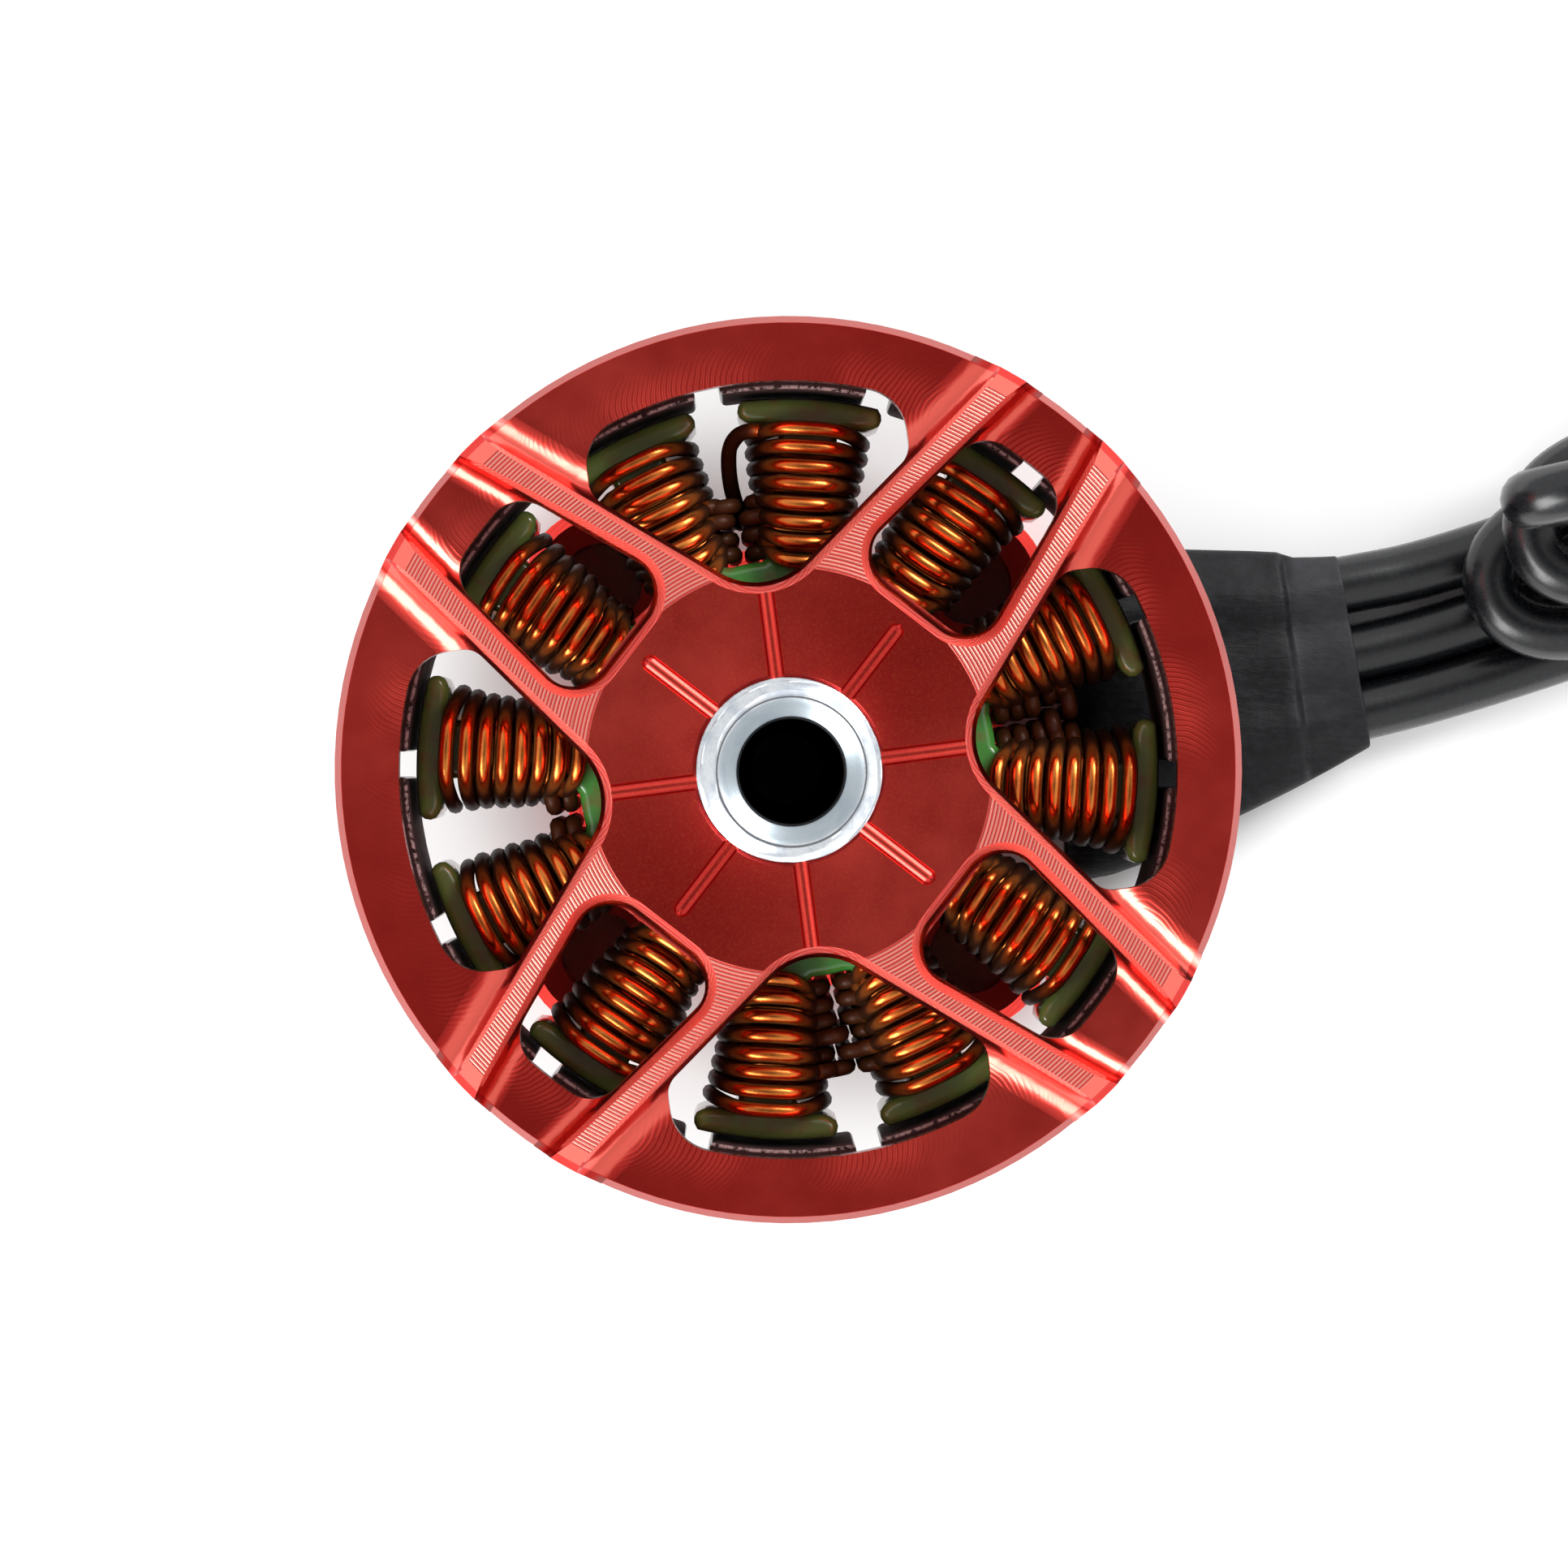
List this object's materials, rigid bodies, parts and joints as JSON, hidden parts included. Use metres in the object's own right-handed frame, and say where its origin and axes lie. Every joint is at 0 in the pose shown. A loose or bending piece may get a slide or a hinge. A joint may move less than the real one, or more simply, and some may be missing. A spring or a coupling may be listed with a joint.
{
  "type": "brushless outrunner motor",
  "caption": "Small brushless outrunner motor with a machined spoked bell, a hollow threaded shaft, copper windings and folded silicone leads.",
  "frame": {"origin": "centre of the mounting face at the bottom of the base, on the shaft axis", "axes": "+Z along the shaft axis towards the propeller end; +X towards the side where the three leads leave"},
  "size_m": [0.0811, 0.0406, 0.0306],
  "materials": {
    "red_anodised": "anodised, satin",
    "stator_coat": "green epoxy coat over laminated steel",
    "copper": "enamelled copper wire, glossy",
    "bearing_steel": "ground bright steel",
    "shield_steel": "pressed steel",
    "ball_steel": "polished",
    "cage_steel": "pressed steel",
    "flux_steel": "black oxide, satin",
    "magnet_nickel": "nickel plated",
    "shaft_steel": "bright steel, satin",
    "washer_steel": "bright",
    "clip_steel": "phosphated spring steel",
    "heat_shrink": "polyolefin, matt",
    "silicone_black": "silicone, soft sheen",
    "tie_rubber": "matt",
    "tin": "solder-tinned copper"
  },
  "bodies": {
    "stator": {"base": "red_anodised", "stator_core": "stator_coat", "winding_phase_a": "copper", "winding_phase_b": "copper", "winding_phase_c": "copper", "winding_tail_a": "copper", "winding_tail_b": "copper", "winding_tail_c": "copper", "upper_bearing_outer_ring": "bearing_steel", "lower_bearing_outer_ring": "bearing_steel", "upper_bearing_shields": "shield_steel", "lower_bearing_shields": "shield_steel", "heat_shrink_sleeve": "heat_shrink", "phase_wire_a": "silicone_black", "phase_wire_b": "silicone_black", "phase_wire_c": "silicone_black", "wire_hank": "silicone_black", "hank_tie": "tie_rubber", "tinned_tips": "tin"},
    "rotor": {"bell": "red_anodised", "flux_ring": "flux_steel", "magnets_north": "magnet_nickel", "magnets_south": "magnet_nickel", "shaft": "shaft_steel", "upper_bearing_inner_ring": "bearing_steel", "lower_bearing_inner_ring": "bearing_steel", "shim_washer": "washer_steel", "spacer_washer": "washer_steel", "retaining_clip": "clip_steel"},
    "upper_ball_train": {"upper_bearing_balls": "ball_steel", "upper_bearing_cage": "cage_steel"},
    "lower_ball_train": {"lower_bearing_balls": "ball_steel", "lower_bearing_cage": "cage_steel"}
  },
  "joints": [
    {"name": "rotor_spin", "type": "hinge", "parent": "stator", "child": "rotor", "pos_m": [0, 0, 0.01], "axis": [0, 0, 1], "continuous": true},
    {"name": "upper_cage_spin", "type": "hinge", "parent": "stator", "child": "upper_ball_train", "pos_m": [0, 0, 0.0112], "axis": [0, 0, 1], "continuous": true},
    {"name": "lower_cage_spin", "type": "hinge", "parent": "stator", "child": "lower_ball_train", "pos_m": [0, 0, 0.003], "axis": [0, 0, 1], "continuous": true}
  ],
  "couplings": [
    {"joint": "upper_cage_spin", "follows": "rotor_spin", "ratio": 0.3785},
    {"joint": "lower_cage_spin", "follows": "rotor_spin", "ratio": 0.3785}
  ]
}
